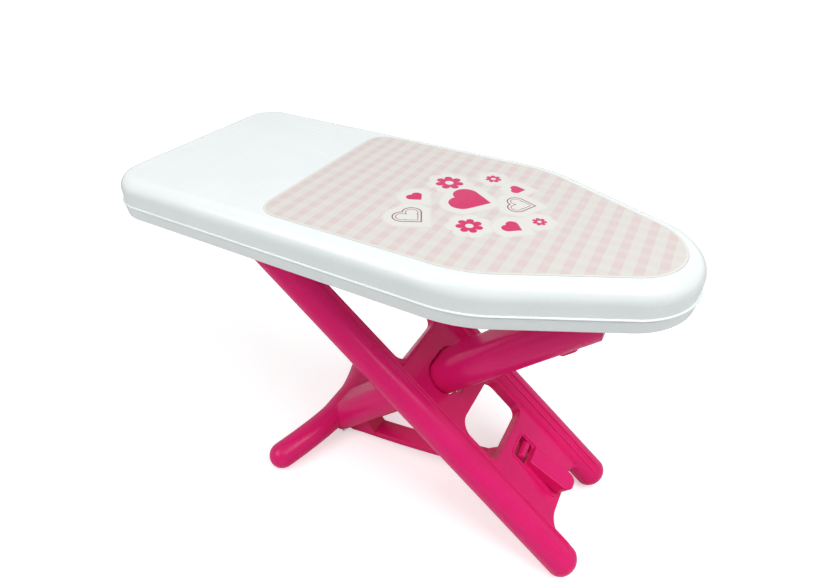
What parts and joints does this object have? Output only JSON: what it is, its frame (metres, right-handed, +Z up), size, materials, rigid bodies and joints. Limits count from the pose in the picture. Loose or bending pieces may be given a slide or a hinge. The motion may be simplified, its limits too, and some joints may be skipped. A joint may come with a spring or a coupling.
{
  "type": "toy ironing board",
  "caption": "Toy ironing board: white two-shell plastic board with a gingham cover sheet on two crossed pink legs that slide together, snap open and lift off the board",
  "frame": {"origin": "on the floor, under the middle of the board, at the bottom centre of the bounding box", "axes": "+X from the square heel of the board to its round nose, +Y across the board, +Z up"},
  "size_m": [0.48, 0.22, 0.3333],
  "materials": {
    "white_plastic": "glossy",
    "pink_plastic": "glossy",
    "printed_sheet": "satin, printed gingham",
    "zinc_steel": "zinc plated"
  },
  "bodies": {
    "centre_leg": {"centre_beam": "pink_plastic", "foot_bar": "pink_plastic", "foot_bar_screw_1": "zinc_steel", "foot_bar_screw_2": "zinc_steel", "lock_arm": "pink_plastic", "lock_arm_screw_1": "zinc_steel", "lock_arm_screw_2": "zinc_steel"},
    "wide_leg": {"wide_leg": "pink_plastic"},
    "board": {"board_top": "white_plastic", "board_base": "white_plastic", "cover_sheet": "printed_sheet", "board_screw_1": "zinc_steel", "board_screw_2": "zinc_steel", "board_screw_3": "zinc_steel", "board_screw_4": "zinc_steel", "board_screw_5": "zinc_steel", "board_screw_6": "zinc_steel", "board_screw_7": "zinc_steel", "board_screw_8": "zinc_steel"},
    "tongue": {"release_tongue": "pink_plastic"}
  },
  "joints": [
    {"name": "leg_slide", "type": "slide", "parent": "centre_leg", "child": "wide_leg", "axis": [0.712, 0, 0.7021], "range_m": [0, 0.195]},
    {"name": "board_lift", "type": "slide", "parent": "wide_leg", "child": "board", "axis": [0, 0, 1], "range_m": [0, 0.07]},
    {"name": "tongue_press", "type": "hinge", "parent": "wide_leg", "child": "tongue", "pos_m": [0.16726, 0, 0.05453], "axis": [0, 1, 0], "range_deg": [0, 5], "stiffness_Nm_per_rad": 0.02}
  ]
}
